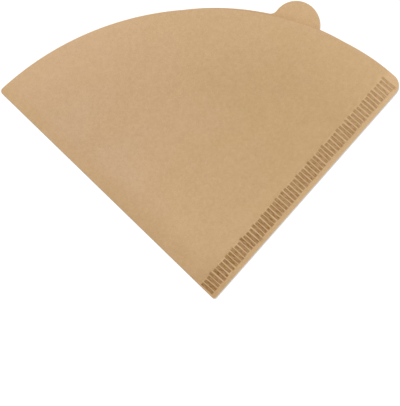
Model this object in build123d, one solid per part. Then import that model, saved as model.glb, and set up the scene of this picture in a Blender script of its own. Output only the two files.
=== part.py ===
from build123d import *
import math
import os

# Cone coffee filter: one sheet of paper, folded along the left side and crimped shut along the right.
# It lies on its back ply, with the tip towards -Y, the open mouth towards +Y and the seam on +X.
# All lengths are in millimetres and all angles in degrees.

# Outline of the folded filter. The tip is where the fold and the seam edge would cross.
tip_angle = 87.2
fold_length = 121.2
seam_length = 116.9
mouth_radius = 122.95
tip_corner_radius = 1.2
fold_corner_radius = 1.5
seam_corner_radius = 5.5

# Thickness of one ply of paper
ply = 0.2

# Spring of the front ply: the angles at which it leaves the back ply at the fold and at the seam.
fold_opening = 15.0
seam_opening = 2.0

# Crimped seam: a row of marks square to the edge, pressed through both plies.
edge_margin = 2.0
crimp_length = 6.1
crimp_mark_width = 0.92
crimp_ridge_width = 0.36
crimp_flank_width = 0.25
crimp_rise = 0.12
crimp_dip = 0.12
crimp_start = 2.15
crimp_end_margin = 4.0
seal_land = 0.6

# Round lifting tab of the back ply, and the low shoulder that the same ply has either side of it.
tab_radius = 9.76
tab_reach = 8.84
tab_bearing = 18.85
tab_foot_radius = 1.2
shoulder_rise = 0.85
shoulder_start_bearing = -5.0
shoulder_end_bearing = 29.5

# Cutting solids run this far past what they cut.
overcut = 2.0

half_angle = math.radians(tip_angle / 2)
fold_direction = Vector(-math.sin(half_angle), math.cos(half_angle))
seam_direction = Vector(math.sin(half_angle), math.cos(half_angle))
into_paper = Vector(-math.cos(half_angle), math.sin(half_angle))
tip = Vector(0, 0)
fold_corner = fold_direction * fold_length
seam_corner = seam_direction * seam_length
farthest_edge = max(fold_length, seam_length, mouth_radius)
seam_width = edge_margin + crimp_length + seal_land
crimp_pitch = crimp_mark_width + crimp_ridge_width + 2 * crimp_flank_width

# A tight fold turns about its own thickness, so its outside is nearly a half round.
fold_rounding = 0.9 * ply


def towards(bearing):
    """Unit vector from the tip at a bearing from the middle line, positive towards the seam."""
    angle = math.radians(bearing)
    return Vector(math.sin(angle), math.cos(angle))


def mouth_arc():
    """The die-cut edge of the front ply."""
    return RadiusArc(fold_corner, seam_corner, mouth_radius)


def mouth_point(bearing):
    """Where a ray from the tip crosses the front ply's mouth edge."""
    ray = towards(bearing)
    centre = mouth_arc().arc_center
    along = ray.dot(centre)
    reach = along + math.sqrt(along**2 - centre.dot(centre) + mouth_radius**2)
    return ray * reach


def nearest_vertex(sketch, point):
    return sketch.vertices().sort_by_distance(point)[0]


def sharp_outline():
    """Two straight sides and the arc of the mouth."""
    return make_face([Line(tip, fold_corner), mouth_arc(), Line(seam_corner, tip)])


def front_outline():
    """Both plies as they are cut: the sharp outline with its three corners rounded."""
    outline = sharp_outline()
    corners = [
        (tip, tip_corner_radius),
        (fold_corner, fold_corner_radius),
        (seam_corner, seam_corner_radius),
    ]
    for corner, radius in corners:
        outline = fillet(nearest_vertex(outline, corner), radius)
    return outline


def shoulder_outline():
    """Low segment of the back ply that stands just proud of the front ply's edge."""
    start = mouth_point(shoulder_start_bearing)
    end = mouth_point(shoulder_end_bearing)
    middle_bearing = (shoulder_start_bearing + shoulder_end_bearing) / 2
    crest = mouth_point(middle_bearing) + towards(middle_bearing) * shoulder_rise
    return make_face([ThreePointArc(start, crest, end), Line(end, start)])


def back_outline():
    """The back ply: the front ply's outline with the shoulder and the round tab."""
    bearing = towards(tab_bearing)
    tab_centre = mouth_point(tab_bearing) + bearing * (tab_reach - tab_radius)
    tab = Pos(tab_centre.X, tab_centre.Y) * Circle(tab_radius)
    outline = front_outline() + shoulder_outline() + tab
    on_tab = [v for v in outline.vertices() if abs((v.center() - tab_centre).length - tab_radius) < 1e-4]
    fold_side_foot = min(on_tab, key=lambda v: v.X)
    return fillet(fold_side_foot, tab_foot_radius)


def pressed_plies():
    """Both plies lying flat on each other, with the outside of the fold rounded."""
    plies = extrude(sharp_outline(), 2 * ply)
    middle_of_fold = fold_corner / 2 + Vector(0, 0, ply)
    fold_edges = plies.edges().sort_by_distance(middle_of_fold)[:2]
    return fillet(fold_edges, fold_rounding) & extrude(front_outline(), 2 * ply)


def overhang():
    """What the back ply has outside the front ply's mouth edge."""
    return extrude(back_outline() - front_outline(), ply)


def opening_cone(base_height):
    """Space under the sprung front ply: a flat-based cone of straight rulings from inside the tip.

    Its top is the ruled surface through one cubic curve. The curve leaves the base at the two opening
    angles, each measured square to the side that it starts from.
    """
    across_angle = math.sin(2 * half_angle)
    apex = fold_direction * (seam_width / across_angle) + seam_direction * (ply / across_angle)
    reach = farthest_edge + overcut
    half_width = reach * math.tan(half_angle)
    third = 2 * half_width / 3
    fold_lift = third * math.cos(half_angle) * math.tan(math.radians(fold_opening))
    seam_lift = third * math.cos(half_angle) * math.tan(math.radians(seam_opening))
    section_plane = Plane(origin=apex + Vector(0, reach, base_height), x_dir=(1, 0, 0), z_dir=(0, -1, 0))
    bow = Bezier(
        (-half_width, 0),
        (-half_width + third, fold_lift),
        (half_width - third, seam_lift),
        (half_width, 0),
    )
    section = section_plane * make_face([bow, Line((half_width, 0), (-half_width, 0))])
    point = Vertex(apex.X, apex.Y, base_height)
    return loft([point, section], ruled=True)


def crimp_profile():
    """Side view of the crimped strip's upper surface: distance along the seam against height.

    The row starts and ends level with the flat plies, half-way up the flank of its outer marks.
    """
    usable = seam_length - crimp_start - crimp_end_margin
    marks = [crimp_start + index * crimp_pitch for index in range(int(usable / crimp_pitch) + 1)]
    half_mark = crimp_mark_width / 2
    to_ridge = half_mark + crimp_flank_width
    to_level = half_mark + crimp_flank_width * crimp_dip / (crimp_dip + crimp_rise)
    profile = [(marks[0] - to_level, 0)]
    for mark in marks:
        profile.append((mark - to_ridge, crimp_rise))
        profile.append((mark - half_mark, -crimp_dip))
        profile.append((mark + half_mark, -crimp_dip))
        profile.append((mark + to_ridge, crimp_rise))
    profile.append((marks[-1] + to_level, 0))
    first_ridge, last_ridge = 1, len(profile) - 2
    return [point for place, point in enumerate(profile) if place not in (first_ridge, last_ridge)]


def crimped_strip():
    """Both plies inside the crimp row, corrugated together."""
    profile = crimp_profile()
    upper = [(along, height + 2 * ply) for along, height in profile]
    lower = [(along, height) for along, height in reversed(profile)]
    inner_end = into_paper * (edge_margin + crimp_length)
    side_plane = Plane(origin=inner_end, x_dir=seam_direction, z_dir=-into_paper)
    side_face = side_plane * make_face(Polyline(*upper, *lower, close=True))
    return extrude(side_face, crimp_length)


def crimp_window():
    """Block that clears the flat plies where the crimped strip goes."""
    profile = crimp_profile()
    start, end = profile[0][0], profile[-1][0]
    middle = seam_direction * ((start + end) / 2) + into_paper * (edge_margin + crimp_length / 2)
    place = Plane(origin=middle + Vector(0, 0, ply), x_dir=seam_direction, z_dir=(0, 0, 1))
    return place * Box(end - start, crimp_length, 2 * ply + 2 * overcut)


def filter_paper():
    """The whole sheet, in the frame of its tip."""
    sprung_ply = opening_cone(2 * ply) & extrude(front_outline(), farthest_edge)
    paper = pressed_plies() + overhang() + sprung_ply
    paper -= opening_cone(ply)
    paper -= crimp_window()
    paper += crimped_strip()
    return paper


def resting(paper):
    """The sheet moved so that the origin is under the middle of its footprint."""
    box = paper.bounding_box()
    return Pos(-box.center().X, -box.center().Y, -box.min.Z) * paper


os.makedirs("parts", exist_ok=True)
paper = resting(filter_paper())
export_step(paper, "parts/filter_paper.step")
print("filter_paper", paper.volume, paper.bounding_box().size, len(paper.solids()), paper.is_valid)
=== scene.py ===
import functools
import math

import bmesh
import bpy
import numpy as np
from mathutils.geometry import delaunay_2d_cdt
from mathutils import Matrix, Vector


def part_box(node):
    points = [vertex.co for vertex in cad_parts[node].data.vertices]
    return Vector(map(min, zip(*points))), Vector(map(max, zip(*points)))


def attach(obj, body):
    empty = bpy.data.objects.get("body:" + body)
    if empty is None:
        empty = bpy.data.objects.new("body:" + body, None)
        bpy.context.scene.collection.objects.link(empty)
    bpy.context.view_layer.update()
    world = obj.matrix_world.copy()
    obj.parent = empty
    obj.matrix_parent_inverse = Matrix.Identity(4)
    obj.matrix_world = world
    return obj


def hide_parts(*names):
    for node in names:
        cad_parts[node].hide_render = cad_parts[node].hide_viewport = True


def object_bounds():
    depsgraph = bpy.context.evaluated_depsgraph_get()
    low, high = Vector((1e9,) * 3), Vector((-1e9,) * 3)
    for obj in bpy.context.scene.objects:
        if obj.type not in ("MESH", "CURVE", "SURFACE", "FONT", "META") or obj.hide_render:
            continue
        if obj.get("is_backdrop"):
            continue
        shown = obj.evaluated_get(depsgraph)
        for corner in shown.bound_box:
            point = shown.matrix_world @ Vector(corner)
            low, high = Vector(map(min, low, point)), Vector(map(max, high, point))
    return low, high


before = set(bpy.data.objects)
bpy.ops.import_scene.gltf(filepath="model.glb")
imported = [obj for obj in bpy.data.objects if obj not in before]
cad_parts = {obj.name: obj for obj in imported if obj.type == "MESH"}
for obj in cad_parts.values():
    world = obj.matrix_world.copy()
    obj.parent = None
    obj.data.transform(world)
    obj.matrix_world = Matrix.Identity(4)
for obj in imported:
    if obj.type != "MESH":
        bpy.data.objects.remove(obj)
cad_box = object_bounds()

# Cone coffee filter: one sheet of paper folded in two, crimped shut along its right side and lying flat.
# All lengths are in metres. The outline is worked out in the frame of the tip, where the fold and the
# seam edge would cross, with +Y along the middle line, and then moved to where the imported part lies.
MM = 0.001

# Driving sizes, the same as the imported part's
TIP_ANGLE = math.radians(87.2)
FOLD_LENGTH = 121.2 * MM
SEAM_LENGTH = 116.9 * MM
MOUTH_RADIUS = 122.95 * MM
TIP_CORNER_RADIUS = 1.2 * MM
FOLD_CORNER_RADIUS = 1.5 * MM
PLY = 0.2 * MM
FOLD_OPENING = math.radians(15.0)
SEAM_OPENING = math.radians(2.0)
EDGE_MARGIN = 2.0 * MM
CRIMP_LENGTH = 6.1 * MM
CRIMP_PITCH = 1.78 * MM
CRIMP_MARK_WIDTH = 0.92 * MM
CRIMP_FLANK_WIDTH = 0.25 * MM
CRIMP_RISE = 0.12 * MM
CRIMP_DIP = 0.12 * MM
CRIMP_START = 2.15 * MM
CRIMP_END_MARGIN = 4.0 * MM
SEAL_LAND = 0.6 * MM
TAB_RADIUS = 9.76 * MM
TAB_REACH = 8.84 * MM
TAB_BEARING = math.radians(18.85)
SHOULDER_RISE = 0.85 * MM
SHOULDER_START = math.radians(-5.0)
SHOULDER_END = math.radians(29.5)

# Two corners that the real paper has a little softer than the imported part: the foot of the tab on the
# fold's side, and the seam corner, towards which the mouth draws in before the corner is rounded
TAB_FOOT_RADIUS = 3.2 * MM
SEAM_CORNER_RADIUS = 4.7 * MM
CORNER_EASE = 0.87 * MM
EASE_START = math.radians(31.5)

# The real row starts nearer the tip than an even one would, and settles to its pitch over its first marks
FIRST_MARK = 1.47 * MM
SETTLED_PITCH = 1.76 * MM
CREEP = 1.77 * MM
CREEP_MARKS = 14.5
MARK_SCATTER = 0.07 * MM

# How much wider, shallower and paler the real marks get: at the first, the middle and the last one, or
# else at the first and the last
WIDENING = (1.22, 1.16, 0.96)
DEPTH_FADING = (1, 0.72)
SHADE_FADING = (1, 0.9, 0.65)

# How the marks differ by chance: shares from and to, or else the mean and the spread
WIDTH_SHARES = (0.92, 1.1)
DEPTH_SHARES = (0.8, 1.0)
SHADE_SHARES = (0.86, 1.0)
OUTER_END_DRIFT = (-0.12 * MM, 0.13 * MM)
INNER_END_DRIFT = (0.05 * MM, 0.18 * MM)
LEAN_SPREAD = 0.012
BEND_SPREAD = 0.05 * MM
SWELL_SPREAD = 0.1

# What the marks do to the paper around them: soft ends and puckers, a painted highlight on the crests
# between them, and painted shade just inside their inner ends
SOFT_END = 0.3 * MM
ROW_FADE = 1.5 * SOFT_END
RIPPLE_SHARE = 0.22
RIPPLE_REACH = 0.7 * MM
CREST_HIGHLIGHT = 0.3
# Painted shade just inside the marks' inner ends: how dark at most, and how far it reaches
INNER_END_SHADE = 0.3
INNER_END_SHADE_REACH = 1.0 * MM

# What paper does beyond the plain form
TAB_LIFT = 0.35 * MM
UNDULATION = 0.11 * MM
UNDULATION_WAVES = 7
UNDULATION_LENGTHS = (22 * MM, 60 * MM)
UNDULATION_ONSET = 3 * MM
EDGE_GROOVE = 0.05 * MM
GROOVE_LIP = 0.3
SEED = 11

# How finely the sheet is divided
BAND_STEP = CRIMP_PITCH / 14
PANEL_STEP = 12 * BAND_STEP
EDGE_STEP = 0.6 * MM
FINE_EDGE_STEP = 0.15 * MM
RIM_WIDTH = 0.35 * MM
FOLD_TURNS = 6

# How near the edge the points just inside it and those of the panel may lie, how near two points may
# be before they count as one, in millimetres, and the way to divide that keeps to the inside of a loop
RIM_ROOM = 0.9 * RIM_WIDTH
PANEL_ROOM = RIM_WIDTH + 0.4 * PANEL_STEP
MERGING_DISTANCE = 1e-6
INSIDE_ONLY = 1

# Rows of points along the sealed band: where the margin has one and where a soft end has them, both as
# shares, how many lie between the soft ends, and how far past the band the last ones are
MARGIN_ROW = 0.3
END_ROWS = (-1.6, -0.8, 0, 0.8, 1.8)
MIDDLE_ROWS = 7
BAND_FRINGE = (0.25 * MM, 0.8 * MM, 1.8 * MM)

# Over this width, at its inner side, the band's finish fades into the paper's
BAND_FADE = 2 * MM

# The photograph's view of it: where its centre lies from the tip, the height that it takes in, and its lean
VIEW_CENTRE = np.array([-4.23, 39.275]) * MM
VIEW_HEIGHT = 164.35 * MM
VIEW_LEAN = math.radians(2.254)
LENS = 1000.0
SENSOR = 36.0

HALF_ANGLE = TIP_ANGLE / 2
ALONG_FOLD = np.array([-math.sin(HALF_ANGLE), math.cos(HALF_ANGLE)])
ALONG_SEAM = np.array([math.sin(HALF_ANGLE), math.cos(HALF_ANGLE)])
FROM_FOLD = np.array([math.cos(HALF_ANGLE), math.sin(HALF_ANGLE)])
FROM_SEAM = np.array([-math.cos(HALF_ANGLE), math.sin(HALF_ANGLE)])
SEAM_WIDTH = EDGE_MARGIN + CRIMP_LENGTH + SEAL_LAND
POCKET_TIP = (ALONG_FOLD * SEAM_WIDTH + ALONG_SEAM * PLY) / math.sin(TIP_ANGLE)

# The sheet lies on its crimps, so its flat parts stand this high
FLAT_HEIGHT = CRIMP_DIP


def smoothstep(low, high, value):
    share = np.clip((value - low) / (high - low), 0, 1)
    return share * share * (3 - 2 * share)


def towards(bearing):
    """Unit vector from the tip at a bearing from the middle line, positive towards the seam."""
    return np.array([math.sin(bearing), math.cos(bearing)])


def length(vector):
    return float(np.linalg.norm(vector))


def mouth_centre():
    """Centre of the die-cut mouth arc."""
    fold_corner, seam_corner = ALONG_FOLD * FOLD_LENGTH, ALONG_SEAM * SEAM_LENGTH
    chord = seam_corner - fold_corner
    back = np.array([chord[1], -chord[0]]) / length(chord)
    return (fold_corner + seam_corner) / 2 + back * math.sqrt(MOUTH_RADIUS**2 - (length(chord) / 2) ** 2)


MOUTH_CENTRE = mouth_centre()


def mouth_point(bearing):
    """Where a ray from the tip crosses the mouth arc."""
    ray = towards(bearing)
    along = ray @ MOUTH_CENTRE
    return ray * (along + math.sqrt(along**2 - MOUTH_CENTRE @ MOUTH_CENTRE + MOUTH_RADIUS**2))


def corner_rounding(side, inward, radius):
    """Rounding between a straight side and the mouth arc: its centre, and where it touches both."""
    offset = inward * radius - MOUTH_CENTRE
    along = side @ offset
    reach = -along + math.sqrt(along**2 - offset @ offset + (MOUTH_RADIUS - radius) ** 2)
    centre = side * reach + inward * radius
    on_mouth = MOUTH_CENTRE + (centre - MOUTH_CENTRE) * MOUTH_RADIUS / (MOUTH_RADIUS - radius)
    return centre, side * reach, on_mouth


def circle_through(a, b, c):
    """Centre of the circle through three points."""
    sides = np.array([b - a, c - a])
    middles = np.array([(b @ b - a @ a) / 2, (c @ c - a @ a) / 2])
    return np.linalg.solve(sides, middles)


def meeting_point(centre_a, radius_a, centre_b, radius_b, side):
    """Where two circles meet, on the side of the line between their centres that side (1 or -1) gives."""
    between = centre_b - centre_a
    distance = length(between)
    along = (distance**2 + radius_a**2 - radius_b**2) / (2 * distance)
    across = math.sqrt(radius_a**2 - along**2)
    unit = between / distance
    return centre_a + unit * along + np.array([-unit[1], unit[0]]) * across * side


def arc(centre, start, end, step, turn):
    """Points from start towards end about centre, without the end; turn is 1 for left and -1 for right."""
    first = math.atan2(*(start - centre)[::-1])
    sweep = (math.atan2(*(end - centre)[::-1]) - first) * turn % (2 * math.pi)
    radius = length(start - centre)
    count = max(2, math.ceil(sweep * radius / step))
    angles = first + turn * sweep * np.arange(count) / count
    return centre + radius * np.column_stack([np.cos(angles), np.sin(angles)])


def line(start, end, step):
    """Points from start towards end, without the end."""
    count = max(1, math.ceil(length(end - start) / step))
    return start + np.outer(np.arange(count) / count, end - start)


TIP_CENTRE = np.array([0, TIP_CORNER_RADIUS / math.sin(HALF_ANGLE)])
FOLD_CORNER_CENTRE, _, FOLD_CORNER_ON_MOUTH = corner_rounding(ALONG_FOLD, FROM_FOLD, FOLD_CORNER_RADIUS)
SEAM_CORNER_CENTRE, SEAM_CORNER_ON_SEAM, SEAM_CORNER_ON_MOUTH = corner_rounding(
    ALONG_SEAM, FROM_SEAM, SEAM_CORNER_RADIUS
)


def fold_start(depth):
    """Point of the tip's rounding that lies depth inside the fold edge."""
    inset = TIP_CORNER_RADIUS - depth
    return TIP_CENTRE - FROM_FOLD * inset - ALONG_FOLD * math.sqrt(TIP_CORNER_RADIUS**2 - inset**2)


def fold_end(depth):
    """Point of the fold corner's rounding that lies depth inside the fold edge."""
    inset = FOLD_CORNER_RADIUS - depth
    return FOLD_CORNER_CENTRE - FROM_FOLD * inset + ALONG_FOLD * math.sqrt(FOLD_CORNER_RADIUS**2 - inset**2)


def seal_mouth_point():
    """Where the inner line of the sealed band meets the mouth arc."""
    offset = FROM_SEAM * SEAM_WIDTH - MOUTH_CENTRE
    along = ALONG_SEAM @ offset
    reach = -along + math.sqrt(along**2 - offset @ offset + MOUTH_RADIUS**2)
    return ALONG_SEAM * reach + FROM_SEAM * SEAM_WIDTH


SEAL_END = seal_mouth_point()


def eased(points):
    """Draws the outline in towards the mouth's centre, more and more from EASE_START to the seam corner."""
    rays = points - MOUTH_CENTRE
    bearings = np.arctan2(rays[..., 0], rays[..., 1])
    corner = ALONG_SEAM * SEAM_LENGTH - MOUTH_CENTRE
    share = (bearings - EASE_START) / (math.atan2(*corner) - EASE_START)
    inwards = CORNER_EASE * np.clip(share, 0, 1) ** 2
    return points - rays * (inwards / np.linalg.norm(rays, axis=-1))[..., None]


def front_mouth():
    """Mouth edge of the front ply, from the crease to the sealed band."""
    return eased(np.concatenate([
        arc(FOLD_CORNER_CENTRE, fold_end(PLY), FOLD_CORNER_ON_MOUTH, FINE_EDGE_STEP, -1),
        arc(MOUTH_CENTRE, FOLD_CORNER_ON_MOUTH, SEAL_END, EDGE_STEP, -1),
    ]))


def back_mouth():
    """The same edge of the back ply, with its low shoulder and the round tab."""
    start, end = mouth_point(SHOULDER_START), mouth_point(SHOULDER_END)
    middle = (SHOULDER_START + SHOULDER_END) / 2
    crest = mouth_point(middle) + towards(middle) * SHOULDER_RISE
    shoulder = circle_through(start, crest, end)
    shoulder_radius = length(crest - shoulder)
    tab = mouth_point(TAB_BEARING) + towards(TAB_BEARING) * (TAB_REACH - TAB_RADIUS)
    foot = meeting_point(
        shoulder, shoulder_radius + TAB_FOOT_RADIUS, tab, TAB_RADIUS + TAB_FOOT_RADIUS, 1
    )
    foot_on_shoulder = shoulder + (foot - shoulder) * shoulder_radius / length(foot - shoulder)
    foot_on_tab = tab + (foot - tab) * TAB_RADIUS / length(foot - tab)
    far_foot = meeting_point(shoulder, shoulder_radius, tab, TAB_RADIUS, -1)
    return eased(np.concatenate([
        arc(FOLD_CORNER_CENTRE, fold_end(PLY), FOLD_CORNER_ON_MOUTH, FINE_EDGE_STEP, -1),
        arc(MOUTH_CENTRE, FOLD_CORNER_ON_MOUTH, start, EDGE_STEP, -1),
        arc(shoulder, start, foot_on_shoulder, EDGE_STEP, -1),
        arc(foot, foot_on_shoulder, foot_on_tab, FINE_EDGE_STEP, 1),
        arc(tab, foot_on_tab, far_foot, EDGE_STEP / 2, -1),
        arc(shoulder, far_foot, end, EDGE_STEP, -1),
        arc(MOUTH_CENTRE, end, SEAL_END, EDGE_STEP, -1),
    ]))


def closed_edge():
    """Where both plies are sealed together: from the mouth round the seam corner and down to the tip."""
    tip_on_seam = ALONG_SEAM * TIP_CORNER_RADIUS / math.tan(HALF_ANGLE)
    corner = eased(np.concatenate([
        arc(MOUTH_CENTRE, SEAL_END, SEAM_CORNER_ON_MOUTH, FINE_EDGE_STEP * 2, -1),
        arc(SEAM_CORNER_CENTRE, SEAM_CORNER_ON_MOUTH, SEAM_CORNER_ON_SEAM, FINE_EDGE_STEP * 2, -1),
    ]))
    return np.concatenate([
        corner,
        line(eased(SEAM_CORNER_ON_SEAM), tip_on_seam, 2 * BAND_STEP),
        arc(TIP_CENTRE, tip_on_seam, fold_start(PLY), FINE_EDGE_STEP, -1),
    ])


def fold_line():
    """Where the plies leave the round of the fold, from the tip to the mouth."""
    return line(fold_start(PLY), fold_end(PLY), EDGE_STEP)


def crease():
    """Inside of the fold, from the tip of the pocket to the mouth."""
    return line(POCKET_TIP, fold_end(PLY), 2 * EDGE_STEP)


def seal_line():
    """Inner line of the sealed band, from the mouth to the tip of the pocket."""
    return line(eased(SEAL_END), POCKET_TIP, 2 * EDGE_STEP)


def inside(points, loop):
    """Which points lie inside a closed loop."""
    crossings = np.zeros(len(points), int)
    for (ax, ay), (bx, by) in zip(loop, np.roll(loop, -1, axis=0)):
        if ay == by:
            continue
        spans = (ay > points[:, 1]) != (by > points[:, 1])
        crossings += spans & (points[:, 0] < ax + (points[:, 1] - ay) * (bx - ax) / (by - ay))
    return crossings % 2 == 1


def clearance(points, loop):
    """Distance of each point from the nearest edge of a loop."""
    nearest = np.full(len(points), np.inf)
    for a, b in zip(loop, np.roll(loop, -1, axis=0)):
        edge = b - a
        share = np.clip((points - a) @ edge / (edge @ edge), 0, 1)
        nearest = np.minimum(nearest, np.linalg.norm(points - a - share[:, None] * edge, axis=1))
    return nearest


def band_rows():
    """Distances of the rows of points in the sealed band from the seam edge, with the step along each row.

    They stand close where the crimp marks start and end, and ever further apart past the band.
    """
    outer, inner = EDGE_MARGIN, EDGE_MARGIN + CRIMP_LENGTH
    near_outer = [outer + offset * SOFT_END for offset in END_ROWS]
    near_inner = [inner + offset * SOFT_END for offset in END_ROWS]
    middle = np.linspace(outer + 3 * SOFT_END, inner - 3 * SOFT_END, MIDDLE_ROWS)
    rows = [EDGE_MARGIN * MARGIN_ROW, *near_outer, *middle, *near_inner]
    fringe = [(SEAM_WIDTH + past, BAND_STEP * 2**number) for number, past in enumerate(BAND_FRINGE, 1)]
    return [*[(row, BAND_STEP) for row in rows], *fringe]


def lattice(first_row, rows=()):
    """Points in rows along the seam: the given rows, then evenly spaced ones from first_row on."""
    panel = [(row, PANEL_STEP) for row in np.arange(first_row, FOLD_LENGTH, PANEL_STEP)]
    reach = FOLD_LENGTH + TAB_REACH
    points = []
    for row, step in [*rows, *panel]:
        along = np.arange(-reach / 2, reach, step)
        points.append(np.outer(along, ALONG_SEAM) + row * FROM_SEAM)
    return np.concatenate(points)


def rim_points(loop):
    """Points one rim width inside the loop, away from the sealed band, whose rows are close enough."""
    chord = np.roll(loop, -1, axis=0) - np.roll(loop, 1, axis=0)
    inward = np.column_stack([chord[:, 1], -chord[:, 0]]) / np.linalg.norm(chord, axis=1)[:, None]
    points = loop + inward * RIM_WIDTH
    return points[points @ FROM_SEAM > SEAM_WIDTH + RIM_WIDTH]


def divided(loop, points):
    """Triangles over the inside of a loop: the loop's points come first, and then the inner ones."""
    rim = rim_points(loop)
    rim = rim[inside(rim, loop)]
    rim = rim[clearance(rim, loop) > RIM_ROOM]
    points = points[inside(points, loop)]
    in_band = points @ FROM_SEAM < SEAM_WIDTH + PANEL_STEP
    room = np.where(in_band, BAND_STEP, PANEL_ROOM)
    points = points[clearance(points, loop) > room]
    spread = np.concatenate([loop, rim, points])
    boundary = list(range(len(loop)))
    _, _, triangles, origins, _, _ = delaunay_2d_cdt(
        [tuple(p / MM) for p in spread], [], [boundary], INSIDE_ONLY, MERGING_DISTANCE
    )
    source = [ids[0] for ids in origins]
    return spread, [[source[corner] for corner in triangle] for triangle in triangles]


class Crimps:
    """The row of crimp marks, each a little different from the next as a roller with wear on it leaves them.
    """

    def __init__(self, chance):
        usable = SEAM_LENGTH - CRIMP_START - CRIMP_END_MARGIN
        self.count = int(usable / CRIMP_PITCH) + 1
        places = np.arange(self.count)
        stages = [0, self.count / 2, self.count - 1]
        self.centre = FIRST_MARK + places * SETTLED_PITCH + CREEP * (1 - np.exp(-places / CREEP_MARKS))
        self.centre += chance.normal(0, MARK_SCATTER, self.count)
        widening = np.interp(places, stages, WIDENING)
        self.half_width = CRIMP_MARK_WIDTH / 2 * chance.uniform(*WIDTH_SHARES, self.count) * widening
        self.outer_end = EDGE_MARGIN + chance.normal(*OUTER_END_DRIFT, self.count)
        self.inner_end = EDGE_MARGIN + CRIMP_LENGTH + chance.normal(*INNER_END_DRIFT, self.count)
        self.lean = chance.normal(0, LEAN_SPREAD, self.count)
        self.bend = chance.normal(0, BEND_SPREAD, self.count)
        self.swell = chance.normal(0, SWELL_SPREAD, self.count)
        depth_fading = np.interp(places, [0, self.count - 1], DEPTH_FADING)
        self.depth = chance.uniform(*DEPTH_SHARES, self.count) * depth_fading
        self.shade = chance.uniform(*SHADE_SHARES, self.count) * np.interp(places, stages, SHADE_FADING)

    def place(self, along):
        """Distance along the seam, counted in marks from the first one."""
        return np.interp(along, self.centre, np.arange(self.count))

    def relief(self, points):
        """Height that the crimps give the sheet and their darkness, with painted shade inside their ends
        and, below 0, a painted highlight on the crests.
        """
        along, across = points @ ALONG_SEAM, points @ FROM_SEAM
        nearest = np.rint(self.place(along)).astype(int)
        mark, shade, covered = np.zeros((3, len(points)))
        inwards = across - EDGE_MARGIN - CRIMP_LENGTH / 2
        share = 2 * inwards / CRIMP_LENGTH
        for neighbour in (-1, 0, 1):
            number = np.clip(nearest + neighbour, 0, self.count - 1)
            path = self.centre[number] + self.lean[number] * inwards + self.bend[number] * share**2
            half_width = self.half_width[number] * (1 + self.swell[number] * share)
            flank = smoothstep(0, CRIMP_FLANK_WIDTH, np.abs(along - path) - half_width)
            ends = smoothstep(-SOFT_END, SOFT_END, across - self.outer_end[number]) * (
                1 - smoothstep(-SOFT_END, SOFT_END, across - self.inner_end[number])
            )
            pressed = (1 - flank) * ends
            covered = np.maximum(covered, pressed)
            mark = np.maximum(mark, pressed * self.depth[number])
            shade = np.maximum(shade, pressed * self.shade[number])
        ridge = self.in_row(along) * self.across_row(across)
        # Painted highlight on the crests between the marks, fading out towards the last mark
        crest = CREST_HIGHLIGHT * ridge * (1 - covered) * (1 - self.place(along) / self.count)
        # The marks' darkness, with painted shade inside their inner ends, less the painted highlight on the
        # crests
        shade = np.maximum(shade, self.inner_end_shade(along, across)) - crest
        ripple = self.in_row(along) * self.ripple(along, across)
        return CRIMP_RISE * ridge * (1 - mark) - CRIMP_DIP * mark + ripple, shade

    def in_row(self, along):
        """1 between the first and last mark, 0 beyond them."""
        first = self.centre[0] - CRIMP_MARK_WIDTH / 2
        last = self.centre[-1] + CRIMP_MARK_WIDTH / 2
        start = smoothstep(first, first + CRIMP_FLANK_WIDTH, along)
        return start * (1 - smoothstep(last - CRIMP_FLANK_WIDTH, last, along))

    def across_row(self, across):
        """1 over the length of the marks, fading past their ends."""
        inner = EDGE_MARGIN + CRIMP_LENGTH
        start = smoothstep(EDGE_MARGIN - ROW_FADE, EDGE_MARGIN + SOFT_END, across)
        return start * (1 - smoothstep(inner - SOFT_END, inner + ROW_FADE, across))

    def inner_end_shade(self, along, across):
        """Painted shade on the paper just inside the marks' inner ends: a little, and more near the tip."""
        past = across - EDGE_MARGIN - CRIMP_LENGTH
        fade = np.where(past > 0, np.exp(-past / INNER_END_SHADE_REACH), 0)
        return INNER_END_SHADE * self.in_row(along) * fade * (1 - self.place(along) / self.count) ** 2

    def ripple(self, along, across):
        """The paper just inside the marks stays puckered by them for a short way."""
        past = np.maximum(across - EDGE_MARGIN - CRIMP_LENGTH, 0)
        fade = np.where(past > 0, np.exp(-past / RIPPLE_REACH), 0) * smoothstep(0, SOFT_END, past)
        return -RIPPLE_SHARE * CRIMP_DIP * np.cos(2 * math.pi * self.place(along)) * fade


class Undulation:
    """Slow waves of the sprung ply, since paper is never a perfect cone."""

    def __init__(self, chance):
        wavelength = chance.uniform(*UNDULATION_LENGTHS, UNDULATION_WAVES)
        bearing = chance.uniform(0, 2 * math.pi, UNDULATION_WAVES)
        self.waves = (2 * math.pi / wavelength) * np.array([np.cos(bearing), np.sin(bearing)])
        self.phase = chance.uniform(0, 2 * math.pi, UNDULATION_WAVES)

    def height(self, points):
        return UNDULATION * np.sin(points @ self.waves + self.phase).mean(axis=1) * 2


def sprung_height(points):
    """How far the front ply stands off the back ply: a cone of straight rulings from the pocket's tip."""
    x, y = (points - POCKET_TIP).T
    half_width = np.maximum(y, 1e-9) * math.tan(HALF_ANGLE)
    third = 2 * half_width / 3
    fold_lift = third * math.cos(HALF_ANGLE) * math.tan(FOLD_OPENING)
    seam_lift = third * math.cos(HALF_ANGLE) * math.tan(SEAM_OPENING)
    share = np.clip((x + half_width) / (2 * half_width), 0, 1)
    height = 3 * share * (1 - share) * (fold_lift * (1 - share) + seam_lift * share)
    return np.where(y > 0, height, 0)


def tab_height(points):
    """The tab springs up a little past the mouth edge of the front ply."""
    past = np.linalg.norm(points - MOUTH_CENTRE, axis=1) - MOUTH_RADIUS
    return TAB_LIFT * np.clip(past / TAB_REACH, 0, 1) ** 2


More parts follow.
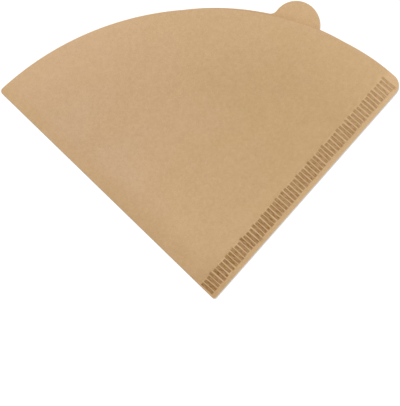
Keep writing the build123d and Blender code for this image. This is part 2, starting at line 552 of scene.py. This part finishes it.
class Sheet:
    """Collects the vertices and faces of the one closed surface, with the finish that each vertex gets."""

    def __init__(self):
        self.chance = np.random.RandomState(SEED)
        self.crimps = Crimps(self.chance)
        self.undulation = Undulation(self.chance)
        self.points = []
        self.pressed = []
        self.band = []
        self.rim = []
        self.faces = []
        self.groups = []

    def add(self, points, heights, pressed=0.0, rim=0.0):
        """Adds vertices and returns their numbers."""
        first = len(self.points)
        self.points += np.column_stack([points, np.broadcast_to(heights, len(points))]).tolist()
        self.pressed += np.broadcast_to(pressed, len(points)).tolist()
        self.band += (1 - smoothstep(SEAM_WIDTH - BAND_FADE, SEAM_WIDTH, points @ FROM_SEAM)).tolist()
        self.rim += np.broadcast_to(rim, len(points)).tolist()
        return list(range(first, len(self.points)))

    def add_faces(self, faces, group):
        """Adds faces, without the corners that repeat and the faces that vanish with them."""
        for face in faces:
            corners = list(dict.fromkeys(face))
            if len(corners) > 2:
                self.faces.append(corners)
                self.groups.append(group)

    def front_height(self, points):
        """Height of the front ply's mid-plane above the back ply's, without the crimps."""
        sprung = sprung_height(points)
        return PLY + sprung + self.undulation.height(points) * smoothstep(0, UNDULATION_ONSET, sprung)

    def surface(self, loop, points, height, group, shared=None, crimped=False, rim_loop=None):
        """Divides the inside of a loop and gives it a height, with the vertices of the loop as its outcome.

        shared holds the loop's places that have a vertex already, and rim_loop the edge that was cut.
        """
        shared = shared or {}
        spread, triangles = divided(loop, points)
        heights, pressed = height(spread), np.zeros(len(spread))
        if crimped:
            relief, pressed = self.crimps.relief(spread)
            heights = heights + relief
        # Nearness to the cut edge, for the paler raw fibre of the cut and a painted highlight along it
        rim = np.clip(1 - clearance(spread, rim_loop) / RIM_WIDTH, 0, 1)
        fresh = [place for place in range(len(spread)) if place not in shared]
        numbers = dict(zip(fresh, self.add(spread[fresh], heights[fresh], pressed[fresh], rim[fresh])))
        numbers.update(shared)
        self.add_faces([[numbers[corner] for corner in triangle] for triangle in triangles], group)
        return [numbers[place] for place in range(len(loop))]

    def outside(self, outline, fold_count, height):
        """Outer face of one ply, with the crimps. The last fold_count points of its outline are the fold."""
        return self.surface(
            outline,
            lattice(SEAM_WIDTH + BAND_FRINGE[-1] + PANEL_STEP, band_rows()),
            lambda points: FLAT_HEIGHT + height(points),
            "outside",
            crimped=True,
            rim_loop=open_cut(outline[:-fold_count]),
        )

    def bridge(self, rows, group):
        """Faces between neighbouring rows of vertices that are as long as each other."""
        for row, next_row in zip(rows, rows[1:]):
            ahead, next_ahead = row[1:], next_row[1:]
            self.add_faces(zip(row, ahead, next_ahead, next_row), group)


def build_sheet():
    """The whole folded sheet in the frame of its tip, lying on its crimps, and the outline of its back."""
    sheet = Sheet()
    mouth, wide_mouth, closed, fold = front_mouth(), back_mouth(), closed_edge(), fold_line()
    front_outline = np.concatenate([mouth, closed, fold])
    back_outline = np.concatenate([wide_mouth, closed, fold])
    front = sheet.outside(front_outline, len(fold), lambda points: PLY + sheet.front_height(points))
    back = sheet.outside(back_outline, len(fold), tab_height)
    front_edge, front_side, front_fold = loop_parts(front, mouth, closed, fold)
    back_edge, back_side, back_fold = loop_parts(back, wide_mouth, closed, fold)

    # Cut edges of the two plies at the mouth, from the outside to the inside of the pocket
    ceiling_edge, floor_edge = add_pocket(sheet, mouth, wide_mouth)
    sheet.bridge([front_edge, ceiling_edge], "cut")
    sheet.bridge([back_edge, floor_edge], "cut")

    sealed_line = np.concatenate([closed, fold[:1]])
    tip_centre = add_sealed_cut(sheet, [front_side, back_side], sealed_line, floor_edge[-1])
    add_fold(sheet, [front_fold, back_fold], [tip_centre, floor_edge[0]])
    return sheet, back_outline


def add_pocket(sheet, mouth, wide_mouth):
    """Inside of the pocket: its floor is the back ply and its ceiling the front ply, met at crease and seal.

    Gives the vertices along the mouth of the ceiling and of the floor.
    """
    inner_points = lattice(SEAM_WIDTH + PANEL_STEP)
    meeting_line = np.concatenate([seal_line(), crease()])
    floor = sheet.surface(
        np.concatenate([wide_mouth, meeting_line]),
        inner_points,
        lambda points: FLAT_HEIGHT + PLY + tab_height(points),
        "floor",
        rim_loop=open_cut(wide_mouth),
    )
    ceiling_loop = np.concatenate([mouth, meeting_line])
    meeting = {0: floor[0]}
    meeting.update(zip(range(len(mouth), len(ceiling_loop)), floor[len(wide_mouth):]))
    ceiling = sheet.surface(
        ceiling_loop,
        inner_points,
        lambda points: FLAT_HEIGHT + sheet.front_height(points),
        "ceiling",
        shared=meeting,
        rim_loop=open_cut(mouth),
    )
    return ceiling[: len(mouth) + 1], floor[: len(wide_mouth) + 1]


def add_sealed_cut(sheet, sides, points, seal_corner):
    """Cut edge of the sealed plies, with a fine groove where they meet.

    Gives the vertex at its end on the tip, half-way up the fold.
    """
    front_side, back_side = sides
    between = points[1:-1]
    tip_centre = sheet.add(points[-1:], FLAT_HEIGHT + PLY)[0]
    relief, _ = sheet.crimps.relief(between)
    rows = [front_side]
    for share, inset in ((GROOVE_LIP, 0.0), (0.0, EDGE_GROOVE), (-GROOVE_LIP, 0.0)):
        middle = inset_points(points, inset)[1:-1]
        numbers = sheet.add(middle, FLAT_HEIGHT + PLY + share * PLY + relief, rim=1.0)
        rows.append([seal_corner, *numbers, tip_centre])
    sheet.bridge([*rows, back_side], "cut")
    return tip_centre


def add_fold(sheet, sides, centres):
    """Outside of the fold, where both plies turn about the crease in a half round, with its two ends."""
    front_side, back_side = sides
    shares = np.arange(len(front_side)) / (len(front_side) - 1)
    rows = [front_side]
    for turn in range(1, FOLD_TURNS):
        angle = math.pi * turn / FOLD_TURNS
        depth = PLY * (1 - math.sin(angle))
        start, end = fold_start(depth), fold_end(depth)
        points = start + np.outer(shares, end - start)
        rows.append(sheet.add(points, FLAT_HEIGHT + PLY + PLY * math.cos(angle)))
    rows.append(back_side)
    sheet.bridge(rows, "outside")
    for centre, column in zip(centres, (0, -1)):
        ends = [row[column] for row in rows]
        sheet.add_faces([(centre, a, b) for a, b in zip(ends, ends[1:])], "cut")


def loop_parts(numbers, *lines):
    """A loop's vertices, parted into the lines that made it. Each part ends where the next one starts."""
    numbers = [*numbers, numbers[0]]
    ends = np.cumsum([0, *map(len, lines)])
    return [numbers[start : end + 1] for start, end in zip(ends, ends[1:])]


def open_cut(points):
    """The cut edge as a loop that runs out and back, so that no edge closes it across the paper."""
    return np.concatenate([points, points[-2:0:-1]])


def inset_points(points, inset):
    """The points moved inwards, square to the line that they make."""
    chord = np.gradient(points, axis=0)
    inward = np.column_stack([chord[:, 1], -chord[:, 0]]) / np.linalg.norm(chord, axis=1)[:, None]
    return points + inward * inset


def to_row(outline):
    """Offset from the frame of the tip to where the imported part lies, by its tip and its fold corner."""
    low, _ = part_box("filter_paper")
    fold_edge = line(fold_start(0), fold_end(0), FINE_EDGE_STEP)
    start = np.concatenate([outline, fold_edge]).min(axis=0)
    return np.array([low.x - start[0], low.y - start[1], low.z])


def sheet_object(sheet, offset):
    """The sheet as one smooth-shaded mesh, with sharp edges where it was cut or creased."""
    mesh = bpy.data.meshes.new("filter_sheet")
    mesh.from_pydata((np.array(sheet.points) + offset).tolist(), [], sheet.faces)
    # pressed holds the crimps' darkness with painted shade inside their ends, and below 0 a painted
    # highlight on their crests
    for name, values in (("pressed", sheet.pressed), ("band", sheet.band), ("rim", sheet.rim)):
        layer = mesh.attributes.new(name, "FLOAT", "POINT")
        layer.data.foreach_set("value", values)
    solid = bmesh.new()
    solid.from_mesh(mesh)
    solid.faces.ensure_lookup_table()
    for face, group in zip(solid.faces, sheet.groups):
        face.smooth = group != "cut"
    bmesh.ops.recalc_face_normals(solid, faces=solid.faces)
    for edge in solid.edges:
        edge.smooth = len({sheet.groups[face.index] for face in edge.link_faces}) == 1
    solid.to_mesh(mesh)
    solid.free()
    piece = bpy.data.objects.new("filter_sheet", mesh)
    bpy.context.collection.objects.link(piece)
    return piece


def fill(tree, socket, value):
    """Gives a socket a plain value or another node's output."""
    if isinstance(value, bpy.types.NodeSocket):
        tree.links.new(value, socket)
    else:
        socket.default_value = value


def add_node(tree, kind, settings=None, **inputs):
    """Adds a node, sets its options, and fills the inputs that have these names."""
    node = tree.nodes.new(kind)
    for name, value in (settings or {}).items():
        setattr(node, name, value)
    for name, value in inputs.items():
        fill(tree, node.inputs[name.replace("_", " ")], value)
    return node


def maths(tree, operation, first, second, clamp=False):
    node = add_node(tree, "ShaderNodeMath", {"operation": operation, "use_clamp": clamp})
    fill(tree, node.inputs[0], first)
    fill(tree, node.inputs[1], second)
    return node.outputs[0]


def combined(tree, operation, values):
    """The outcome of one operation over all the values, two at a time."""
    return functools.reduce(lambda first, second: maths(tree, operation, first, second), values)


def total(tree, *values):
    return combined(tree, "ADD", values)


def product(tree, *values):
    return combined(tree, "MULTIPLY", values)


def vector_maths(tree, operation, *values):
    node = add_node(tree, "ShaderNodeVectorMath", {"operation": operation})
    for socket, value in zip(node.inputs, values):
        fill(tree, socket, value)
    return node.outputs["Value" if operation in ("DISTANCE", "DOT_PRODUCT") else "Vector"]


def map_range(tree, value, low, high, to_low, to_high):
    """Eases from to_low at low to to_high at high, and stays level beyond them."""
    settings = {"interpolation_type": "SMOOTHSTEP"}
    ends = {"From_Min": low, "From_Max": high, "To_Min": to_low, "To_Max": to_high}
    return add_node(tree, "ShaderNodeMapRange", settings, Value=value, **ends).outputs["Result"]


def ramp(tree, value, start, end, share=1.0):
    """Eases from 0 at start to share at end, and stays level beyond them."""
    return map_range(tree, value, start, end, 0.0, share)


def mix_colour(tree, share, first, second):
    node = add_node(tree, "ShaderNodeMix", {"data_type": "RGBA"})
    for number, value in ((0, share), (6, first), (7, second)):
        fill(tree, node.inputs[number], value)
    return node.outputs[2]


def noise(tree, place, size, detail=2.0, roughness=0.5):
    """Cloudy noise whose features are about that size."""
    inputs = {"Vector": place, "Scale": 1 / size, "Detail": detail, "Roughness": roughness}
    return add_node(tree, "ShaderNodeTexNoise", **inputs).outputs["Fac"]


def attribute(tree, name):
    """What build_sheet gave each vertex under that name."""
    return add_node(tree, "ShaderNodeAttribute", {"attribute_name": name}).outputs["Fac"]


def new_material(name):
    material = bpy.data.materials.new(name)
    material.use_nodes = True
    material.node_tree.nodes.clear()
    return material, material.node_tree


def srgb(red, green, blue):
    """A colour on the 0 to 255 scale as the shader wants it."""
    parts = []
    for value in (red, green, blue):
        share = value / 255
        parts.append(share / 12.92 if share <= 0.04045 else ((share + 0.055) / 1.055) ** 2.4)
    return (*parts, 1.0)


# Colours of unbleached filter paper, some of them also used for painted light and shade
PAPER_PLAIN = srgb(198, 164, 119)
PAPER_ROSY = srgb(206, 172, 142)
PAPER_DEEP = srgb(196, 162, 120)
# Pale paper, also used for the painted light at the mouth and on the tab
PAPER_PALE_AND_PAINTED_LIGHT = srgb(214, 179, 137)
# Darker paper: painted shade along the fold, and a darker strip along the seam margin near the tip
PAPER_DARKENED = srgb(181, 143, 94)
PAPER_WARM = srgb(202, 168, 112)
# Pale fibres, and the painted highlight on the crimp crests and along the cut edges
PALE_FIBRE_AND_HIGHLIGHT = srgb(222, 193, 156)
FIBRE_DARK = srgb(160, 122, 84)
SPECK = srgb(120, 84, 54)
# Dark colour of the pressed marks, also used for the painted shade just inside their ends
PRESSED_AND_SHADE = srgb(124, 83, 29)
TONE_STEP = srgb(232, 207, 178)

# Slow drift of tone: where each change starts, where it is full, and how far it goes if not all the way.
# The first goes by X, the next three by distance from a side of the paper, and the others from its tip.
ROSY_ACROSS = (40 * MM, -95 * MM, 1.0)
# Painted shade along the fold, and a darker strip along the seam margin, both less towards the mouth
FOLD_SHADE = (13 * MM, 3 * MM, 0.32)
MARGIN_DARKENING = (EDGE_MARGIN, 1.4 * MM, 0.16)
FOLD_WARM = (8 * MM, 2 * MM, 0.3)
WARM_ALONG = (25 * MM, 70 * MM)
DARKENING_ALONG = (20 * MM, 105 * MM)
DARKENING_AT_MOUTH = 0.1
# Painted light towards the mouth and over the tab
MOUTH_PAINTED_LIGHT = (85 * MM, 130 * MM, 0.7)
NEAR_TIP_PALE = (75 * MM, 20 * MM, 0.26)
AT_TIP_DULL = (22 * MM, 3 * MM, -0.5)
SEAL_PALE = (25 * MM, 70 * MM, 0.45)
ROSY_CLOUD = 14 * MM
DEEP_CLOUD = 38 * MM

# Sizes of what shows in the felt
CLOUD = 4.5 * MM
FLOC = 1.5 * MM
GRAIN = 0.22 * MM
SPECK_SIZE = 0.5 * MM

# Between which heights of a noise its effect changes
CLOUD_SPAN = (0.3, 0.7)
FLOC_SPAN = (0.25, 0.75)
DEEP_SPAN = (0.35, 0.65)
SPECK_PEAKS = (0.79, 0.84)

# What the noise does to the drift, and to the tone of the felt, from its lows to its heights
ROSY_SHIFT = (-0.1, 0.1)
DEEP_SHARE = 0.5
CLOUD_TONES = (-0.008, 0.008)
FLOC_TONES = (-0.025, 0.025)
GRAIN_TONES = (-0.085, 0.075)

# How strongly each thing tints the paper
LIGHT_FIBRE_TINT = 0.35
DARK_FIBRE_TINT = 0.4
SPECK_TINT = 0.55
CREST_HIGHLIGHT_TINT = 1.0
CRIMP_TINT = 0.76
RIM_PALE_AND_HIGHLIGHT_TINT = 0.25

# How the crimps' tint varies with the flocs and along its streaks
CRIMP_FLOCS = (0.9, 1.1)
CRIMP_STREAKS = (0.58, 1.3)

# Surface of the felt: its height, what makes it up, and how rough it is to the light
FELT_HEIGHT = 0.05 * MM
FELT_STRENGTH = 0.55
GRAIN_RELIEF = 0.6
FLOC_RELIEF = 0.8
LIGHT_FIBRE_RELIEF = 0.35
DARK_FIBRE_RELIEF = 0.25
ROUGHNESS = (0.86, 0.96)
CRIMP_SMOOTHING = -0.18

# Fibres: their form, their directions, and between which heights of the noise they show
FIBRE_WIDTH = 0.07 * MM
FIBRE_LENGTH = 2.4 * MM
FIBRE_CURL = 1.6 * MM
FIBRE_CURL_LENGTH = 4 * MM
FIBRE_BEARINGS = (12, 57, 101, 148)
DARK_FIBRE_BEARINGS = (37, 82, 126, 173)
FIBRE_PEAKS = (0.64, 0.74)
DARK_FIBRE_PEAKS = (0.68, 0.78)

# Streaks along the crimp marks, and the height over which all drawn-out noise changes
STREAK_LENGTH = 1.8 * MM
STREAK_WIDTH = 0.28 * MM
STREAK_HEIGHT = 8 * MM


def toned(tree, colour, change):
    """The colour made lighter or darker by a share of TONE_STEP, which leaves its warmth as it is."""
    return vector_maths(tree, "MULTIPLY_ADD", change, TONE_STEP[:3], colour)


def streaks(tree, place, bearing, length, width):
    """Noise drawn out to about that length along a bearing from +X."""
    turned = add_node(
        tree,
        "ShaderNodeMapping",
        {"vector_type": "TEXTURE"},
        Vector=place,
        Location=(bearing * MM, bearing * 3 * MM, 0),
        Rotation=(0, 0, math.radians(bearing)),
        Scale=(length, width, STREAK_HEIGHT),
    )
    return noise(tree, turned.outputs["Vector"], size=1.0, detail=1.0)


def fibres(tree, place, bearings, peaks):
    """Thin curved fibres along these bearings: noise drawn out along each, of which the peaks are kept."""
    layers = []
    for bearing in bearings:
        swirl = add_node(tree, "ShaderNodeTexNoise", Vector=place, Scale=1 / FIBRE_CURL_LENGTH, Detail=1.0)
        curl = (FIBRE_CURL, FIBRE_CURL, 0)
        curled = vector_maths(tree, "MULTIPLY_ADD", swirl.outputs["Color"], curl, place)
        layers.append(ramp(tree, streaks(tree, curled, bearing, FIBRE_LENGTH, FIBRE_WIDTH), *peaks))
    return combined(tree, "MAXIMUM", layers)


def beside(tree, place, inward, offset, start, end, share):
    """A change that eases in towards a straight side of the paper, between two distances from it."""
    distance = vector_maths(tree, "DOT_PRODUCT", place, (*inward, 0))
    side = float(offset[:2] @ inward)
    return ramp(tree, distance, side + start, side + end, share)


def drifting_colour(tree, place, offset):
    """The paper's slow drift: rosier towards the fold corner, paler at the seal, with painted light at the
    mouth, painted shade along the fold and a darker seam margin.
    """
    across = add_node(tree, "ShaderNodeSeparateXYZ", Vector=place).outputs["X"]
    rosy_clouds = map_range(tree, noise(tree, place, ROSY_CLOUD), *CLOUD_SPAN, *ROSY_SHIFT)
    rosy = total(tree, ramp(tree, across, *ROSY_ACROSS), rosy_clouds)
    colour = mix_colour(tree, rosy, PAPER_PLAIN, PAPER_ROSY)
    deep = ramp(tree, noise(tree, place, DEEP_CLOUD), *DEEP_SPAN, DEEP_SHARE)
    colour = mix_colour(tree, deep, colour, PAPER_DEEP)

    from_tip = vector_maths(tree, "DISTANCE", place, tuple(offset))
    # Paler near the tip and at the seal, and painted light towards the mouth and over the tab
    paler_and_painted_light = [ramp(tree, from_tip, *change) for change in (MOUTH_PAINTED_LIGHT, NEAR_TIP_PALE, AT_TIP_DULL)]
    sealed = product(tree, attribute(tree, "band"), ramp(tree, from_tip, *SEAL_PALE))
    colour = mix_colour(tree, total(tree, *paler_and_painted_light, sealed), colour, PAPER_PALE_AND_PAINTED_LIGHT)

    # Painted shade along the fold, and a darker strip along the seam margin, both less towards the mouth
    fold_shade = beside(tree, place, FROM_FOLD, offset, *FOLD_SHADE)
    darker_margin = beside(tree, place, FROM_SEAM, offset, *MARGIN_DARKENING)
    darkening_along = map_range(tree, from_tip, *DARKENING_ALONG, 1.0, DARKENING_AT_MOUTH)
    shade_and_darkening = product(tree, total(tree, fold_shade, darker_margin), darkening_along)
    colour = mix_colour(tree, shade_and_darkening, colour, PAPER_DARKENED)
    warm_fold = beside(tree, place, FROM_FOLD, offset, *FOLD_WARM)
    warm = product(tree, warm_fold, ramp(tree, from_tip, *WARM_ALONG))
    return mix_colour(tree, warm, colour, PAPER_WARM)


def crushed_and_shaded_share(tree, place, flocs):
    """How dark the crimps made each point, with the painted shade inside their ends, uneven as the fibres
    took the pressure.
    """
    along_marks = math.degrees(math.atan2(FROM_SEAM[1], FROM_SEAM[0]))
    lines = streaks(tree, place, along_marks, STREAK_LENGTH, STREAK_WIDTH)
    # The crimps' darkness and the painted shade inside their ends, without the painted highlight below 0
    pressed = maths(tree, "MAXIMUM", attribute(tree, "pressed"), 0.0)
    uneven = map_range(tree, flocs, *FLOC_SPAN, *CRIMP_FLOCS)
    return product(tree, pressed, uneven, map_range(tree, lines, *CLOUD_SPAN, *CRIMP_STREAKS))


def paper_material(offset):
    """Matt unbleached filter paper, cloudy and full of fine fibres, darker and smoother where crimped."""
    material, tree = new_material("filter_paper")
    place = add_node(tree, "ShaderNodeTexCoord").outputs["Object"]
    clouds = noise(tree, place, CLOUD, detail=1.0)
    flocs = noise(tree, place, FLOC, detail=3.0, roughness=0.6)
    grain = noise(tree, place, GRAIN, detail=3.0, roughness=0.65)
    specks = ramp(tree, noise(tree, place, SPECK_SIZE, detail=1.0), *SPECK_PEAKS)
    light = fibres(tree, place, FIBRE_BEARINGS, FIBRE_PEAKS)
    dark = fibres(tree, place, DARK_FIBRE_BEARINGS, DARK_FIBRE_PEAKS)
    crushed_and_shaded = crushed_and_shaded_share(tree, place, flocs)
    # Below 0 the crimp attribute holds the painted highlight on the crests between the marks
    crest_highlights = maths(tree, "MULTIPLY", attribute(tree, "pressed"), -1.0, clamp=True)

    # Colour: the felt on top of the slow drift, then the painted highlight on the crests and the crimps, and
    # last the paler raw edge of the cut with a painted highlight along it
    clouded = map_range(tree, clouds, *CLOUD_SPAN, *CLOUD_TONES)
    flocky = map_range(tree, flocs, *FLOC_SPAN, *FLOC_TONES)
    grainy = map_range(tree, grain, *FLOC_SPAN, *GRAIN_TONES)
    colour = toned(tree, drifting_colour(tree, place, offset), total(tree, clouded, flocky, grainy))
    for share, strength, other in (
        (light, LIGHT_FIBRE_TINT, PALE_FIBRE_AND_HIGHLIGHT),
        (dark, DARK_FIBRE_TINT, FIBRE_DARK),
        (specks, SPECK_TINT, SPECK),
        (crest_highlights, CREST_HIGHLIGHT_TINT, PALE_FIBRE_AND_HIGHLIGHT),
        (crushed_and_shaded, CRIMP_TINT, PRESSED_AND_SHADE),
        (attribute(tree, "rim"), RIM_PALE_AND_HIGHLIGHT_TINT, PALE_FIBRE_AND_HIGHLIGHT),
    ):
        colour = mix_colour(tree, product(tree, share, strength), colour, other)

    # Felt surface: fibres stand a few hundredths of a millimetre proud, and crimps are pressed smoother
    heights = (
        (grain, GRAIN_RELIEF),
        (flocs, FLOC_RELIEF),
        (light, LIGHT_FIBRE_RELIEF),
        (dark, DARK_FIBRE_RELIEF),
    )
    felt = total(tree, *[product(tree, height, strength) for height, strength in heights])
    bump = add_node(tree, "ShaderNodeBump", Height=felt, Strength=FELT_STRENGTH, Distance=FELT_HEIGHT)
    rough = map_range(tree, grain, *CLOUD_SPAN, *ROUGHNESS)
    rough = total(tree, rough, product(tree, crushed_and_shaded, CRIMP_SMOOTHING))
    shader = add_node(
        tree,
        "ShaderNodeBsdfPrincipled",
        Base_Color=colour,
        Roughness=rough,
        Normal=bump.outputs["Normal"],
        Specular_IOR_Level=0.2,
        Sheen_Weight=0.04,
        Sheen_Roughness=0.6,
    )
    add_node(tree, "ShaderNodeOutputMaterial", Surface=shader.outputs[0])
    return material


# Levels of the studio: what the eye sees of floor and backdrop is white, and what they light is less bright
FLOOR_HALF = 6.0
FLOOR_LIGHTING = (0.55, 0.55, 0.55, 1)
FLOOR_SHOWN = (0.8, 0.8, 0.8, 1)
FLOOR_GLOW = 0.35
FILL_LIGHTING = 0.42
FILL_SHOWN = 1.0
LAMP_LEVEL = 2.55
LAMP_WIDTH = math.radians(25)
LAMP_TURN = (math.radians(-38), math.radians(-20), 0)
WHITE = (1, 1, 1, 1)


def add_seen_output(tree, kind, lighting, shown):
    """Output that shows the eye one shader, straight or mirrored, and lights everything with the other."""
    path = tree.nodes.new("ShaderNodeLightPath").outputs
    seen = maths(tree, "ADD", path["Is Camera Ray"], path["Is Glossy Ray"], clamp=True)
    seen = maths(tree, "ADD", seen, path["Is Transmission Ray"], clamp=True)
    chosen = tree.nodes.new("ShaderNodeMixShader")
    for socket, value in zip(chosen.inputs, (seen, lighting.outputs[0], shown.outputs[0])):
        fill(tree, socket, value)
    add_node(tree, kind, Surface=chosen.outputs[0])


def floor_material():
    """Plain pale floor, white to the eye, with the object's shadow."""
    material, tree = new_material("floor")
    lighting = add_node(tree, "ShaderNodeBsdfDiffuse", Color=FLOOR_LIGHTING)
    white = add_node(tree, "ShaderNodeBsdfDiffuse", Color=FLOOR_SHOWN)
    glow = add_node(tree, "ShaderNodeEmission", Color=WHITE, Strength=FLOOR_GLOW)
    shown = tree.nodes.new("ShaderNodeAddShader")
    fill(tree, shown.inputs[0], white.outputs[0])
    fill(tree, shown.inputs[1], glow.outputs[0])
    add_seen_output(tree, "ShaderNodeOutputMaterial", lighting, shown)
    return material


def make_floor():
    mesh = bpy.data.meshes.new("floor")
    signs = ((-1, -1), (1, -1), (1, 1), (-1, 1))
    mesh.from_pydata([(x * FLOOR_HALF, y * FLOOR_HALF, 0) for x, y in signs], [], [(0, 1, 2, 3)])
    floor = bpy.data.objects.new("floor", mesh)
    bpy.context.collection.objects.link(floor)
    mesh.materials.append(floor_material())
    floor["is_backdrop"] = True


def light_scene():
    """Even light from all round and one broad soft lamp from beyond the mouth, on the fold's side."""
    scene = bpy.context.scene
    scene.view_settings.view_transform = "Standard"
    scene.world = bpy.data.worlds.new("studio")
    scene.world.use_nodes = True
    tree = scene.world.node_tree
    tree.nodes.clear()
    lighting = add_node(tree, "ShaderNodeBackground", Color=WHITE, Strength=FILL_LIGHTING)
    shown = add_node(tree, "ShaderNodeBackground", Color=WHITE, Strength=FILL_SHOWN)
    add_seen_output(tree, "ShaderNodeOutputWorld", lighting, shown)
    lamp = bpy.data.lights.new("softbox", "SUN")
    lamp.energy = LAMP_LEVEL
    lamp.angle = LAMP_WIDTH
    softbox = bpy.data.objects.new("softbox", lamp)
    softbox.rotation_euler = LAMP_TURN
    bpy.context.collection.objects.link(softbox)


def make_camera(offset):
    """Looks straight down at the photograph's centre, from where its height fills the picture."""
    data = bpy.data.cameras.new("camera")
    data.sensor_width, data.lens = SENSOR, LENS
    camera = bpy.data.objects.new("camera", data)
    distance = VIEW_HEIGHT * LENS / SENSOR
    camera.location = (VIEW_CENTRE[0] + offset[0], VIEW_CENTRE[1] + offset[1], distance)
    camera.rotation_euler = (0, 0, -VIEW_LEAN)
    data.clip_start, data.clip_end = distance / 100, distance * 100
    bpy.context.collection.objects.link(camera)
    bpy.context.scene.camera = camera


def write_sizes():
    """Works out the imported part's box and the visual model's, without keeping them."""
    boxes = {"cad": cad_box, "visual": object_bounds()}
    {name: [list(corner) for corner in box] for name, box in boxes.items()}


sheet, outline = build_sheet()
offset = to_row(outline)
make_camera(offset)
light_scene()
make_floor()
piece = sheet_object(sheet, offset)
piece.data.materials.append(paper_material(offset))
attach(piece, "root")
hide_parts("filter_paper")
write_sizes()
